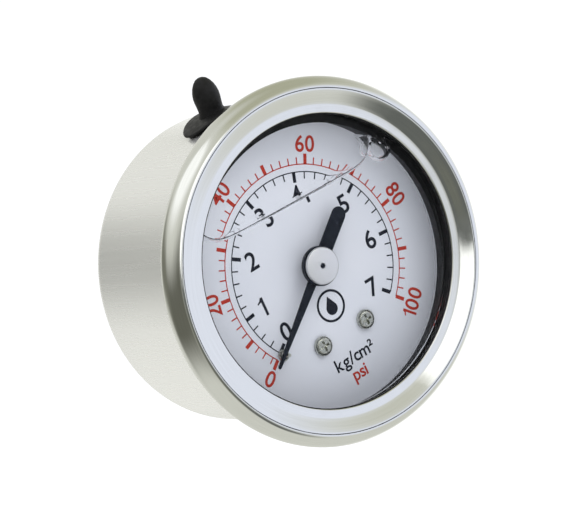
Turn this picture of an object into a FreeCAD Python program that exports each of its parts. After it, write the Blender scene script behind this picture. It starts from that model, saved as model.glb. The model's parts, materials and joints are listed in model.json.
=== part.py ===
import FreeCAD, Part

import math
import os

import Sketcher
from fcgear import fcgear, involute

# Liquid-filled pressure gauge with a centre-back stem.
# The dial looks along -Y, 12 o'clock is +Z and 3 o'clock is +X.
# The stem points along +Y. The origin is on the stem axis, in the gauge plane of its taper thread.
# Places along the stem axis are "forward" distances: how far a point lies from the origin towards -Y.

DIMENSIONS = {
    # Stem and socket
    "stem_length": (20.0, "case back to the end of the stem"),
    "gauge_plane_depth": (4.1, "hand-tight length of a 1/8-27 NPT thread"),
    "thread_length": (10.0, "threaded length"),
    "thread_radius": (5.14, "1/8-27 NPT crest radius at the gauge plane"),
    "relief_radius": (4.55, "undercut behind the thread"),
    "relief_length": (1.2, "length of the undercut"),
    "bar_radius": (7.0, "round bar that the socket is turned from"),
    "square_width": (11.0, "wrench square, across flats"),
    "collar_length": (1.0, "round collar between the square and the case"),
    "socket_flange_radius": (11.4, "flange inside the case back"),
    "socket_flange_thickness": (2.0, "flange inside the case back"),
    "bore_radius": (1.5, "pressure bore"),
    "bore_depth": (6.9, "pressure bore beyond the case back"),
    "drill_radius": (0.7, "cross drillings from the bore to the tube"),
    "block_half_width": (5.8, "block that carries the tube and the movement"),
    "block_top": (4.4, "block above the axis"),
    "block_bottom": (14.4, "block below the axis"),
    "block_height": (5.7, "block forward of the flange"),
    "restrictor_length": (3.0, "restrictor screw in the stem"),
    "restrictor_bore": (0.25, "restrictor hole radius"),
    "seal_ring_radius": (8.1, "O-ring, centre of its section"),
    "seal_section": (0.55, "O-ring section radius"),
    "back_screw_across": (9.9, "back screws from the axis"),
    "back_screw_radius": (1.0, "back screws"),
    "tap_depth": (1.3, "tapped holes for the movement screws"),
    "seal_groove_half": (0.6, "half width of the O-ring groove"),
    # Case, bezel and window
    "case_radius": (19.2, "outside of the case wall"),
    "case_rise": (0.6, "axis of the case and bezel above the stem axis"),
    "sheet": (0.5, "stainless sheet of the case and bezel"),
    "case_depth": (21.55, "case back to the front of its mouth flange"),
    "case_corner": (1.9, "outside radius at the case back"),
    "mouth_radius": (20.6, "mouth flange inside the bezel bead"),
    "back_hole_radius": (7.2, "hole in the case back"),
    "bezel_radius": (22.0, "largest radius of the bezel"),
    "bead_radius": (2.1, "outside radius of the bezel bead"),
    "bead_forward": (22.45, "case back to the centre of the bead"),
    "bezel_skirt": (19.3, "bezel behind the mouth flange"),
    "lip_radius": (17.5, "bezel lip on the window"),
    "lip_height": (0.45, "bezel lip above the window"),
    "lip_round": (0.2, "rounding of the bezel lip"),
    "lip_land": (0.6, "width of the lip that bears on the window"),
    "window_radius": (18.2, "flat window"),
    "window_thickness": (1.75, "flat window"),
    "window_front": (23.15, "case back to the front of the window"),
    "gasket_inner_radius": (17.6, "gasket bore"),
    "spacer_inner_radius": (17.0, "spacer ring bore at the window"),
    "spacer_foot_radius": (17.5, "spacer ring bore at the dial"),
    "spacer_outer_radius": (18.05, "spacer ring inside the case"),
    "gasket_outer_radius": (18.6, "gasket in the case mouth"),
    "gasket_thickness": (0.4, "gasket behind the window and on the flange"),
    "gasket_fin_radius": (20.5, "gasket fin on the mouth flange"),
    # Filler plug
    "plug_forward": (12.4, "case back to the filler hole"),
    "filler_hole": (2.0, "filler hole radius"),
    "plug_neck": (1.95, "plug in the filler hole"),
    "plug_barb": (2.6, "plug inside the case"),
    "plug_disc": (4.2, "plug disc on the case"),
    "plug_disc_thickness": (0.6, "rim of the plug disc"),
    "plug_post": (1.45, "foot of the nipple"),
    "nipple_radius": (1.65, "fattest part of the nipple"),
    "nipple_height": (4.4, "nipple above the disc"),
    "nipple_lean": (16.0, "nipple leans forward, degrees"),
    # Dial and pointer
    "dial_radius": (18.0, "dial plate"),
    "dial_thickness": (0.5, "dial plate"),
    "dial_gap": (4.15, "dial face to the window"),
    "dial_hole": (1.5, "hole in the dial for the arbor"),
    "hub_radius": (2.25, "bright hub cap"),
    "hub_thickness": (0.5, "bright hub cap"),
    "hub_clearance": (0.9, "hub cap to the window"),
    "boss_radius": (2.4, "black boss of the pointer"),
    "boss_height": (1.1, "black boss of the pointer"),
    "blade_thickness": (0.25, "pointer blade"),
    "tip_reach": (13.4, "pointer tip from the axis"),
    "tip_half_width": (0.2, "pointer at its tip"),
    "root_half_width": (0.66, "pointer at the boss"),
    "tail_reach": (7.75, "pointer tail from the axis"),
    "tail_half_width": (0.96, "pointer tail"),
    "zero_angle": (127.5, "pointer at zero, degrees to the left of 12 o'clock"),
    "stop_angle": (130.0, "zero stop, degrees to the left of 12 o'clock"),
    "stop_reach": (11.4, "zero stop from the axis"),
    "stop_head_radius": (0.75, "head of the zero stop"),
    "stop_post_radius": (0.22, "post that the pointer rests on"),
    "screw_across": (3.4, "dial screws from the centre line"),
    "screw_below": (9.0, "dial screws below the axis"),
    "screw_head_radius": (1.2, "dial screw head"),
    "post_radius": (1.05, "posts behind the dial"),
    "screw_head_height": (0.75, "dial screw head"),
    "screw_shank_radius": (0.6, "dial and movement screws"),
    "cross_width": (0.32, "arm width of the cross recess"),
    "cross_length": (1.3, "cross recess from end to end"),
    # Movement
    "plate_thickness": (0.8, "movement plates"),
    "plate_gap": (4.4, "between the movement plates"),
    "plate_half_width": (6.2, "movement plates"),
    "plate_top": (4.4, "movement plates above the axis"),
    "plate_bottom": (14.4, "movement plates below the axis"),
    "plate_waist_down": (10.0, "plates start to narrow beside the tube"),
    "plate_foot": (4.2, "half width of the plates at the bottom"),
    "pillar_radius": (1.0, "movement pillars"),
    "pillar_across": (4.6, "upper pillars from the centre line"),
    "pillar_up": (2.9, "upper pillars above the axis"),
    "low_pillar_across": (3.5, "lower pillar to the left of the centre line"),
    "low_pillar_down": (12.8, "lower pillar below the axis"),
    "gear_module": (0.2, "pinion and sector module"),
    "pinion_teeth": (10, "teeth on the pinion"),
    "wheel_teeth": (80, "teeth on a full circle of the sector's size"),
    "tooth_shift": (-0.14, "thins the teeth so that they run with a little play"),
    "sector_drop": (9.0, "sector pivot below the axis"),
    "sector_thickness": (0.7, "sector plate"),
    "sector_forward": (2.0, "back plate to the sector"),
    "sector_before": (6.75, "sector teeth kept before the mesh at zero, degrees"),
    "sector_after": (38.25, "sector teeth kept after the mesh at zero, degrees"),
    "tail_length": (3.5, "sector pivot to the link pin"),
    "tail_angle": (59.95, "sector tail below 3 o'clock, degrees"),
    "arbor_radius": (0.45, "pinion and sector arbors"),
    "pivot_radius": (0.3, "pivots in the movement plates"),
    "running_gap": (0.04, "radial play of every pivot"),
    "pin_radius": (0.35, "link pins"),
    "pin_head_radius": (0.65, "heads of the link pins"),
    "open_pivot_gap": (0.15, "radial play of the pin at the tube tip"),
    "link_thickness": (0.5, "link"),
    "link_half_width": (0.75, "link"),
    # Bourdon tube and hairspring
    "tube_radius": (14.0, "centre line of the Bourdon tube"),
    "tube_half_thickness": (1.1, "tube section across"),
    "tube_half_width": (3.0, "tube section along the axis"),
    "tube_wall": (0.3, "tube wall"),
    "tube_forward": (6.0, "case back to the middle of the tube"),
    "tube_start": (205.0, "brazed end, degrees clockwise from 12 o'clock"),
    "tube_sweep": (270.0, "arc of the tube, degrees"),
    "tip_sweep": (10.0, "tip piece, degrees"),
    "tip_pin_across": (10.6, "link pin on the tip piece"),
    "tip_pin_down": (6.6, "link pin on the tip piece"),
    "collet_radius": (0.85, "hairspring collet"),
    "spring_pitch": (0.5, "hairspring growth in one turn"),
    "spring_turns": (5, "turns of the hairspring"),
    "spring_strip": (0.1, "hairspring thickness"),
    "spring_width": (0.4, "hairspring along the axis"),
}


class Size:
    """A number together with the spreadsheet expression that drives it."""

    def __init__(self, value, text):
        self.value = value
        self.text = text

    def __add__(self, other):
        other = as_size(other)
        return Size(self.value + other.value, f"({self.text} + {other.text})")

    def __sub__(self, other):
        other = as_size(other)
        return Size(self.value - other.value, f"({self.text} - {other.text})")

    def __mul__(self, other):
        other = as_size(other)
        return Size(self.value * other.value, f"({self.text} * {other.text})")

    def __truediv__(self, other):
        other = as_size(other)
        return Size(self.value / other.value, f"({self.text} / {other.text})")

    def __rsub__(self, other):
        return as_size(other) - self

    def __neg__(self):
        return Size(-self.value, f"(-{self.text})")

    __radd__ = __add__
    __rmul__ = __mul__


def as_size(number):
    return number if isinstance(number, Size) else Size(number, repr(float(number)))


class Dimensions:
    """The driving dimensions, each a Size bound to a cell of the document's spreadsheet."""

    def __init__(self, doc):
        sheet = doc.addObject("Spreadsheet::Sheet", "Dimensions")
        for row, (alias, (value, note)) in enumerate(DIMENSIONS.items(), start=1):
            sheet.set(f"A{row}", note)
            sheet.set(f"B{row}", str(value))
            sheet.setAlias(f"B{row}", alias)
            setattr(self, alias, Size(value, f"Dimensions.{alias}"))


doc = FreeCAD.newDocument("pressure_gauge")
dim = Dimensions(doc)
doc.recompute()
nodes = []

# ---------------------------------------------------------------- sketch and feature helpers


def bind(thing, path, size):
    thing.setExpression(path, as_size(size).text)


def origin_plane(body, role):
    return next(item for item in body.Origin.OriginFeatures if item.Role == role)


def hold_point(sketch, element, end, x, y):
    """Fix one end of a sketch element at (x, y)."""
    for kind, axis, size in (("DistanceX", -2, as_size(x)), ("DistanceY", -1, as_size(y))):
        if size.value == 0:
            sketch.addConstraint(Sketcher.Constraint("PointOnObject", element, end, axis))
        else:
            index = sketch.addConstraint(Sketcher.Constraint(kind, -1, 1, element, end, size.value))
            sketch.setExpression(f"Constraints[{index}]", size.text)


def hold_radius(sketch, element, radius):
    index = sketch.addConstraint(Sketcher.Constraint("Radius", element, radius.value))
    sketch.setExpression(f"Constraints[{index}]", radius.text)


def arc_between(start, end, radius):
    """A circular arc that turns left from start to end, or right where the radius is negative."""
    if radius < 0:
        start, end = end, start
    chord = end - start
    half = chord.Length / 2
    rise = math.sqrt(max(radius * radius - half * half, 0))
    left = FreeCAD.Vector(-chord.y, chord.x, 0) / chord.Length
    centre = start + chord / 2 + left * rise
    angles = [math.atan2(p.y - centre.y, p.x - centre.x) for p in (start, end)]
    return Part.ArcOfCircle(Part.Circle(centre, FreeCAD.Vector(0, 0, 1), abs(radius)), *angles)


def trace(sketch, corners):
    """Close an outline. A corner is (x, y), or (x, y, radius) where an arc leads to it."""
    places = [FreeCAD.Vector(as_size(c[0]).value, as_size(c[1]).value, 0) for c in corners]
    elements = []
    for i, corner in enumerate(corners):
        start, end = places[i - 1], places[i]
        if len(corner) == 3:
            radius = as_size(corner[2])
            element = sketch.addGeometry(arc_between(start, end, radius.value))
            hold_radius(sketch, element, radius if radius.value > 0 else -radius)
            ends = (2, 1) if radius.value < 0 else (1, 2)
        else:
            element = sketch.addGeometry(Part.LineSegment(start, end))
            ends = (1, 2)
        elements.append((element, ends))
    for i, corner in enumerate(corners):
        element, ends = elements[i]
        following, following_ends = elements[(i + 1) % len(elements)]
        sketch.addConstraint(
            Sketcher.Constraint("Coincident", element, ends[1], following, following_ends[0])
        )
        hold_point(sketch, element, ends[1], corner[0], corner[1])


def trace_slot(sketch, first, second, first_radius, second_radius):
    """Two round ends joined by tangent lines, wider at one end where the radii differ."""
    centres = [FreeCAD.Vector(as_size(p[0]).value, as_size(p[1]).value, 0) for p in (first, second)]
    radii = [as_size(first_radius), as_size(second_radius)]
    along = centres[1] - centres[0]
    heading = math.atan2(along.y, along.x)
    spread = math.acos((radii[0].value - radii[1].value) / along.Length)
    up = FreeCAD.Vector(0, 0, 1)
    circles = [Part.Circle(centres[i], up, radii[i].value) for i in (0, 1)]
    near = sketch.addGeometry(Part.ArcOfCircle(circles[0], heading + spread, heading - spread + 2 * math.pi))
    far = sketch.addGeometry(Part.ArcOfCircle(circles[1], heading - spread, heading + spread))
    sides = []
    for sign in (1, -1):
        turn = heading + sign * spread
        out = FreeCAD.Vector(math.cos(turn), math.sin(turn), 0)
        ends = [centres[i] + out * radii[i].value for i in (0, 1)]
        sides.append(sketch.addGeometry(Part.LineSegment(*ends)))
    for side, near_end, far_end in ((sides[0], 1, 2), (sides[1], 2, 1)):
        sketch.addConstraint(Sketcher.Constraint("Tangent", side, 1, near, near_end))
        sketch.addConstraint(Sketcher.Constraint("Tangent", side, 2, far, far_end))
    for element, place, radius in ((near, first, radii[0]), (far, second, radii[1])):
        hold_point(sketch, element, 3, *place)
        hold_radius(sketch, element, radius)


def trace_circle(sketch, x, y, radius):
    radius = as_size(radius)
    centre = FreeCAD.Vector(as_size(x).value, as_size(y).value, 0)
    element = sketch.addGeometry(Part.Circle(centre, FreeCAD.Vector(0, 0, 1), radius.value))
    hold_point(sketch, element, 3, x, y)
    hold_radius(sketch, element, radius)


def new_body(name, x=0, z=0):
    body = doc.addObject("PartDesign::Body", name)
    for axis, size in (("x", x), ("z", z)):
        if as_size(size).value != 0:
            bind(body, f"Placement.Base.{axis}", size)
    return body


def side_sketch(body, name):
    """A sketch through the stem axis: x is the radius, y the forward distance."""
    sketch = body.newObject("Sketcher::SketchObject", name)
    sketch.AttachmentSupport = (origin_plane(body, "XY_Plane"), [""])
    sketch.MapMode = "FlatFace"
    half_turn = FreeCAD.Rotation(FreeCAD.Vector(1, 0, 0), 180)
    sketch.AttachmentOffset = FreeCAD.Placement(FreeCAD.Vector(), half_turn)
    return sketch


def front_sketch(body, name, forward):
    """A sketch that faces the reader of the dial: x is +X, y is +Z."""
    sketch = body.newObject("Sketcher::SketchObject", name)
    sketch.AttachmentSupport = (origin_plane(body, "XZ_Plane"), [""])
    sketch.MapMode = "FlatFace"
    bind(sketch, "AttachmentOffset.Base.z", forward)
    return sketch


def revolve(body, sketch, degrees=360):
    turned_feature = body.newObject("PartDesign::Revolution", f"{sketch.Name}_turned")
    turned_feature.Profile = sketch
    turned_feature.ReferenceAxis = (sketch, ["V_Axis"])
    bind(turned_feature, "Angle", degrees)
    return turned_feature


def turned(name, corners, x=0, z=0):
    """A piece turned about its own axis along Y."""
    body = new_body(name, x, z)
    sketch = side_sketch(body, f"{name}_outline")
    trace(sketch, corners)
    revolve(body, sketch)
    return body


def swept(name, draw, degrees, start):
    """A piece of arc about the stem axis, from start onwards, clockwise as the dial is read."""
    body = new_body(name)
    sketch = side_sketch(body, f"{name}_section")
    draw(sketch)
    revolve(body, sketch, degrees).Reversed = True
    body.Placement.Rotation = FreeCAD.Rotation(FreeCAD.Vector(0, 1, 0), 0)
    bind(body, "Placement.Rotation.Angle", start - 90)
    return body


def plate(name, draw, forward, thickness):
    """A flat piece cut from sheet, whose back lies at the forward distance."""
    body = new_body(name)
    sketch = front_sketch(body, f"{name}_outline", forward)
    draw(sketch)
    pad = body.newObject("PartDesign::Pad", f"{name}_pad")
    pad.Profile = sketch
    bind(pad, "Length", thickness)
    return body


def rod(name, radius, forward, length, x=0, z=0):
    """A round bar along the stem axis, from the forward distance onwards."""
    bar = doc.addObject("Part::Cylinder", name)
    bind(bar, "Radius", radius)
    bind(bar, "Height", length)
    bar.Placement.Rotation = FreeCAD.Rotation(FreeCAD.Vector(1, 0, 0), 90)
    for axis, size in (("x", x), ("y", -as_size(forward)), ("z", z)):
        bind(bar, f"Placement.Base.{axis}", size)
    return bar


def fuse(name, pieces):
    joined = doc.addObject("Part::MultiFuse", name)
    joined.Shapes = pieces
    return joined


def cut(name, base, tool):
    remainder = doc.addObject("Part::Cut", name)
    remainder.Base = base
    remainder.Tool = tool
    return remainder


def common(name, pieces):
    overlap = doc.addObject("Part::MultiCommon", name)
    overlap.Shapes = pieces
    return overlap


def group(name, pieces):
    """Identical pieces that share one node."""
    together = doc.addObject("Part::Compound", name)
    together.Links = pieces
    return together


def mirrored(name, source):
    """The same piece on the other side of the centre line."""
    mirror = doc.addObject("Part::Mirroring", name)
    mirror.Source = source
    mirror.Normal = FreeCAD.Vector(1, 0, 0)
    return mirror


def node(thing, label=None):
    """Keep a finished sub-part under its own label."""
    if label:
        thing.Label = label
    nodes.append(thing)


def on_dial(reach, degrees_left):
    """A place on the dial, an angle to the left of 12 o'clock."""
    text = f"{degrees_left.text} * 1deg"
    angle = math.radians(degrees_left.value)
    across = Size(-reach.value * math.sin(angle), f"(-{reach.text} * sin({text}))")
    up = Size(reach.value * math.cos(angle), f"({reach.text} * cos({text}))")
    return across, up


# ---------------------------------------------------------------- stations along the stem axis

case_back = dim.stem_length - dim.gauge_plane_depth
case_floor = case_back + dim.sheet
stem_end = -dim.gauge_plane_depth
mouth = case_back + dim.case_depth
window_outside = case_back + dim.window_front
window_inside = window_outside - dim.window_thickness
dial_face = window_inside - dim.dial_gap
dial_back = dial_face - dim.dial_thickness
hub_front = window_inside - dim.hub_clearance
hub_back = hub_front - dim.hub_thickness
blade_back = hub_back - dim.boss_height
flange_front = case_floor + dim.socket_flange_thickness
block_front = flange_front + dim.block_height
back_plate_front = block_front + dim.plate_thickness
front_plate_back = back_plate_front + dim.plate_gap
front_plate_front = front_plate_back + dim.plate_thickness
sector_back = back_plate_front + dim.sector_forward
sector_front = sector_back + dim.sector_thickness
link_back = sector_front + 0.15
link_front = link_back + dim.link_thickness
pin_shoulder = link_front + 0.15
tube_middle = case_back + dim.tube_forward

# ---------------------------------------------------------------- case, bezel and window


def make_case():
    wall = dim.case_radius
    inside = wall - dim.sheet
    bend = wall - dim.case_corner
    shell = turned("case_shell", [
        (0, case_back),
        (bend, case_back),
        (wall, case_back + dim.case_corner, dim.case_corner),
        (wall, mouth - dim.sheet),
        (dim.mouth_radius, mouth - dim.sheet),
        (dim.mouth_radius, mouth),
        (inside, mouth),
        (inside, case_back + dim.case_corner),
        (bend, case_floor, dim.sheet - dim.case_corner),
        (0, case_floor),
    ], 0, dim.case_rise)
    filler = doc.addObject("Part::Cylinder", "case_filler_hole")
    bind(filler, "Radius", dim.filler_hole)
    bind(filler, "Height", dim.bar_radius)
    bind(filler, "Placement.Base.y", -(case_back + dim.plug_forward))
    bind(filler, "Placement.Base.z", dim.case_radius - dim.bar_radius / 2 + dim.case_rise)
    screw_holes = [
        rod(f"case_screw_hole_{i}", dim.back_screw_radius + 0.25, case_back - 1, 3, *place)
        for i, place in enumerate(back_screw_places())
    ]
    back_hole = rod("case_back_hole", dim.back_hole_radius, case_back - 1, 3)
    holes = fuse("case_holes", [filler, back_hole] + screw_holes)
    node(cut("case", shell, holes))


def make_bezel():
    crest = dim.bezel_radius - dim.bead_radius
    middle = case_back + dim.bead_forward
    inner = dim.bead_radius - dim.sheet
    lip_top = window_outside + dim.lip_height
    node(turned("bezel_ring", [
        (dim.bezel_skirt, middle - dim.bead_radius),
        (crest, middle - dim.bead_radius),
        (dim.bezel_radius, middle, dim.bead_radius),
        (crest, middle + dim.bead_radius, dim.bead_radius),
        (dim.lip_radius + dim.lip_round, lip_top),
        (dim.lip_radius, lip_top - dim.lip_round, dim.lip_round),
        (dim.lip_radius, window_outside),
        (dim.lip_radius + dim.lip_land, window_outside),
        (crest, middle + inner),
        (crest + inner, middle, -inner),
        (crest, middle - inner, -inner),
        (dim.bezel_skirt, middle - inner),
    ], 0, dim.case_rise))


def make_window():
    edge = 0.15
    node(turned("window", [
        (0, window_inside),
        (dim.window_radius - edge, window_inside),
        (dim.window_radius, window_inside + edge),
        (dim.window_radius, window_outside - edge),
        (dim.window_radius - edge, window_outside),
        (0, window_outside),
    ], 0, dim.case_rise))


def make_window_gasket():
    rim = dim.window_radius + 0.05
    fin_back = mouth + 0.05
    node(turned("window_gasket", [
        (dim.gasket_inner_radius, window_inside - dim.gasket_thickness),
        (dim.gasket_outer_radius, window_inside - dim.gasket_thickness),
        (dim.gasket_outer_radius, fin_back),
        (dim.gasket_fin_radius, fin_back),
        (dim.gasket_fin_radius, fin_back + dim.gasket_thickness),
        (dim.gasket_outer_radius, fin_back + dim.gasket_thickness),
        (dim.gasket_outer_radius, window_outside),
        (rim, window_outside),
        (rim, window_inside),
        (dim.gasket_inner_radius, window_inside),
    ], 0, dim.case_rise))


def make_spacer_ring():
    node(turned("spacer_ring", [
        (dim.spacer_foot_radius, dial_face),
        (dim.spacer_outer_radius, dial_face),
        (dim.spacer_outer_radius, window_inside - dim.gasket_thickness),
        (dim.spacer_inner_radius, window_inside - dim.gasket_thickness),
    ]))


# ---------------------------------------------------------------- filler plug


def upright(name, corners):
    """A piece turned about its own axis along Z, at the filler hole."""
    body = new_body(name)
    sketch = front_sketch(body, f"{name}_outline", 0)
    trace(sketch, corners)
    revolve(body, sketch)
    bind(body, "Placement.Base.y", -(case_back + dim.plug_forward))
    bind(body, "Placement.Base.z", dim.case_rise)
    return body


def make_filler_plug():
    skin = dim.case_radius
    inside = skin - dim.sheet
    disc_top = skin + 1.3
    base = upright("plug_base", [
        (0, inside - 1.5),
        (dim.plug_neck, inside - 1.5),
        (dim.plug_barb, inside - 1.1),
        (dim.plug_barb, inside - 0.5),
        (dim.plug_neck, inside - 0.2),
        (dim.plug_neck, skin + 0.1),
        (dim.plug_disc, disc_top - dim.plug_disc_thickness),
        (dim.plug_disc, disc_top),
        (0, disc_top),
    ])
    nipple = upright("plug_nipple", [
        (0, -0.6),
        (dim.plug_post, -0.6),
        (dim.nipple_radius, dim.nipple_height / 2, 18),
        (0.5, dim.nipple_height, 3.0),
        (0, dim.nipple_height),
    ])
    nipple.Placement.Rotation = FreeCAD.Rotation(FreeCAD.Vector(1, 0, 0), 0)
    bind(nipple, "Placement.Rotation.Angle", dim.nipple_lean)
    bind(nipple, "Placement.Base.z", disc_top + dim.case_rise)
    node(fuse("filler_plug", [base, nipple]))


# ---------------------------------------------------------------- socket


def make_socket():
    groove_inside = dim.seal_ring_radius - dim.seal_groove_half
    groove_outside = dim.seal_ring_radius + dim.seal_groove_half
    groove_floor = case_floor + dim.seal_section * 2
    thread_end = stem_end + dim.thread_length
    chamfer = 0.5
    square_back = thread_end + dim.relief_length
    square_front = case_back - dim.collar_length
    stem = turned("socket_turning", [
        (0, stem_end),
        (dim.thread_radius - chamfer, stem_end),
        (dim.thread_radius, stem_end + chamfer),
        (dim.thread_radius, thread_end),
        (dim.relief_radius, thread_end),
        (dim.relief_radius, square_back),
        (dim.square_width / 2, square_back),
        (dim.square_width / 2, square_front),
        (dim.bar_radius, square_front),
        (dim.bar_radius, case_floor),
        (groove_inside, case_floor),
        (groove_inside, groove_floor),
        (groove_outside, groove_floor),
        (groove_outside, case_floor),
        (dim.socket_flange_radius, case_floor),
        (dim.socket_flange_radius, flange_front),
        (0, flange_front),
    ])
    bar = rod("socket_square_bar", dim.bar_radius, square_back, square_front - square_back)
    half = dim.square_width / 2
    flats = plate(
        "socket_square_flats",
        lambda sketch: trace(sketch, [(-half, -half), (half, -half), (half, half), (-half, half)]),
        square_back,
        square_front - square_back,
    )
    square = common("socket_square", [bar, flats])
    root_angle = 360 - dim.tube_start
    near_root = on_dial(dim.tube_radius - 1.6, root_angle)
    far_root = on_dial(dim.tube_radius + 1.6, root_angle)
    block = plate(
        "socket_block",
        lambda sketch: trace(sketch, [
            (dim.block_half_width, dim.block_top),
            (-dim.block_half_width, dim.block_top),
            (-dim.block_half_width, near_root[1]),
            near_root,
            far_root,
            (dim.block_half_width, -dim.block_bottom),
        ]),
        flange_front,
        dim.block_height,
    )
    solid = fuse("socket_solid", [stem, square, block])
    node(cut("socket", solid, make_socket_holes(root_angle)))


def make_socket_holes(root_angle):
    """The bore from the stem, the drillings to the tube and the tapped holes."""
    bore = rod("socket_bore", dim.bore_radius, stem_end - 1, case_back - stem_end + dim.bore_depth + 1)
    down = doc.addObject("Part::Cylinder", "socket_down_drilling")
    bind(down, "Radius", dim.drill_radius)
    bind(down, "Height", dim.block_bottom - 1.5)
    down.Placement.Rotation = FreeCAD.Rotation(FreeCAD.Vector(1, 0, 0), 180)
    bind(down, "Placement.Base.y", -tube_middle)
    root = on_dial(dim.tube_radius, root_angle)
    across = doc.addObject("Part::Cylinder", "socket_tube_drilling")
    bind(across, "Radius", dim.drill_radius)
    bind(across, "Height", dim.block_half_width * 1.1)
    across.Placement.Rotation = FreeCAD.Rotation(FreeCAD.Vector(0, 1, 0), 90)
    bind(across, "Placement.Base.x", root[0] - 0.3)
    bind(across, "Placement.Base.y", -tube_middle)
    bind(across, "Placement.Base.z", -(dim.block_bottom - 1.9))
    taps = [
        rod(f"socket_tap_{i}", dim.screw_shank_radius, block_front - dim.tap_depth, 2, *place)
        for i, place in enumerate(pillar_places())
    ]
    back_taps = [
        rod(f"socket_back_tap_{i}", dim.back_screw_radius, case_floor - 1, 2.6, *place)
        for i, place in enumerate(back_screw_places())
    ]
    return fuse("socket_holes", [bore, down, across] + taps + back_taps)


def back_screw_places():
    return [(dim.back_screw_across, 0), (-dim.back_screw_across, 0)]


def make_restrictor():
    half = dim.bore_radius
    body = turned("restrictor_screw", [
        (dim.restrictor_bore, stem_end + 1),
        (half, stem_end + 1),
        (half, stem_end + 1 + dim.restrictor_length),
        (dim.restrictor_bore, stem_end + 1 + dim.restrictor_length),
    ])
    sketch = front_sketch(body, "restrictor_slot_outline", stem_end + 1)
    width = 0.25
    trace(sketch, [(-half, -width), (half, -width), (half, width), (-half, width)])
    slot = body.newObject("PartDesign::Pocket", "restrictor_slot")
    slot.Profile = sketch
    slot.Length = 0.6
    slot.Reversed = True
    node(body)


def make_socket_seal():
    ring = doc.addObject("Part::Torus", "socket_seal")
    bind(ring, "Radius1", dim.seal_ring_radius)
    bind(ring, "Radius2", dim.seal_section)
    ring.Placement.Rotation = FreeCAD.Rotation(FreeCAD.Vector(1, 0, 0), 90)
    bind(ring, "Placement.Base.y", -(case_floor + dim.seal_section))
    node(ring)


# ---------------------------------------------------------------- screws


def cross_recess(body, name, forward, deep, facing_back=False):
    """A cross-shaped driver recess sunk into a screw head."""
    sketch = front_sketch(body, f"{name}_recess_outline", forward)
    wide = dim.cross_width / 2
    tall = dim.cross_length / 2
    trace(sketch, [
        (tall, -wide), (tall, wide), (wide, wide), (wide, tall), (-wide, tall), (-wide, wide),
        (-tall, wide), (-tall, -wide), (-wide, -wide), (-wide, -tall), (wide, -tall), (wide, -wide),
    ])
    recess = body.newObject("PartDesign::Pocket", f"{name}_recess")
    recess.Profile = sketch
    recess.Length = deep
    recess.Reversed = facing_back


def make_dial_screws():
    head = dial_face + dim.screw_head_height
    bore = dim.screw_shank_radius
    screw = turned("dial_screw", [
        (0, dial_back - 2),
        (bore, dial_back - 2),
        (bore, dial_face),
        (dim.screw_head_radius, dial_face),
        (dim.screw_head_radius, head - 0.35),
        (dim.screw_head_radius - 0.35, head, 0.42),
        (0, head),
    ], dim.screw_across, -dim.screw_below)
    cross_recess(screw, "dial_screw", head, 0.5)
    node(group("dial_screws", [screw, mirrored("dial_screw_left", screw)]))


def make_dial_posts():
    post = turned("dial_post", [
        (dim.screw_shank_radius, front_plate_front),
        (dim.post_radius, front_plate_front),
        (dim.post_radius, dial_back),
        (dim.screw_shank_radius, dial_back),
    ], dim.screw_across, -dim.screw_below)
    node(group("dial_posts", [post, mirrored("dial_post_left", post)]))


def make_back_screws():
    shank = dim.back_screw_radius
    head = shank * 2
    screws = []
    for i, place in enumerate(back_screw_places()):
        screw = turned(f"back_screw_{i}", [
            (0, case_back - 1.1),
            (head - 0.5, case_back - 1.1),
            (head, case_back - 0.6, 0.6),
            (head, case_back),
            (shank, case_back),
            (shank, flange_front - 0.5),
            (0, flange_front - 0.5),
        ], *place)
        cross_recess(screw, f"back_screw_{i}", case_back - 1.1, 0.7, facing_back=True)
        screws.append(screw)
    node(group("back_screws", screws))


# ---------------------------------------------------------------- dial, pointer and zero stop


def make_dial():
    def outline(sketch):
        trace_circle(sketch, 0, 0, dim.dial_radius)
        trace_circle(sketch, 0, 0, dim.dial_hole)
        for side in (1, -1):
            trace_circle(sketch, side * dim.screw_across, -dim.screw_below, dim.screw_shank_radius)
        trace_circle(sketch, *on_dial(dim.stop_reach, dim.stop_angle), dim.stop_post_radius)

    node(plate("dial_plate", outline, dial_back, dim.dial_thickness))


def make_zero_stop():
    post = dim.stop_post_radius
    head = dim.stop_head_radius
    node(turned("zero_stop_pin", [
        (0, dial_back),
        (post, dial_back),
        (post, dial_face),
        (head, dial_face),
        (head, dial_face + 0.2),
        (post, dial_face + 0.75, 0.85),
        (post, blade_back + dim.blade_thickness + 0.3),
        (0, blade_back + dim.blade_thickness + 0.3),
    ], *on_dial(dim.stop_reach, dim.stop_angle)))


def make_pointer():
    forward = on_dial(Size(1.0, "1"), dim.zero_angle)

    def along(reach):
        """A place on the pointer's centre line, towards its tip."""
        return reach * forward[0], reach * forward[1]

    tip_end = along(dim.tip_reach - dim.tip_half_width)
    tail_end = along(dim.tail_half_width - dim.tail_reach)
    tip = plate(
        "pointer_tip",
        lambda sketch: trace_slot(sketch, (0, 0), tip_end, dim.root_half_width, dim.tip_half_width),
        blade_back,
        dim.blade_thickness,
    )
    tail = plate(
        "pointer_tail",
        lambda sketch: trace_slot(sketch, (0, 0), tail_end, dim.tail_half_width, dim.tail_half_width),
        blade_back,
        dim.blade_thickness,
    )
    boss = rod("pointer_boss", dim.boss_radius, blade_back, dim.boss_height)
    blank = fuse("pointer_blank", [tip, tail, boss])
    hole = rod("pointer_hole", dim.pivot_radius, blade_back - 1, dim.boss_height + 2)
    node(cut("pointer", blank, hole))


def make_hub_cap():
    edge = 0.12
    node(turned("pointer_hub_cap", [
        (dim.pivot_radius, hub_back),
        (dim.hub_radius, hub_back),
        (dim.hub_radius, hub_front - edge),
        (dim.hub_radius - edge, hub_front, edge),
        (dim.pivot_radius, hub_front),
    ]))


# ---------------------------------------------------------------- movement


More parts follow.
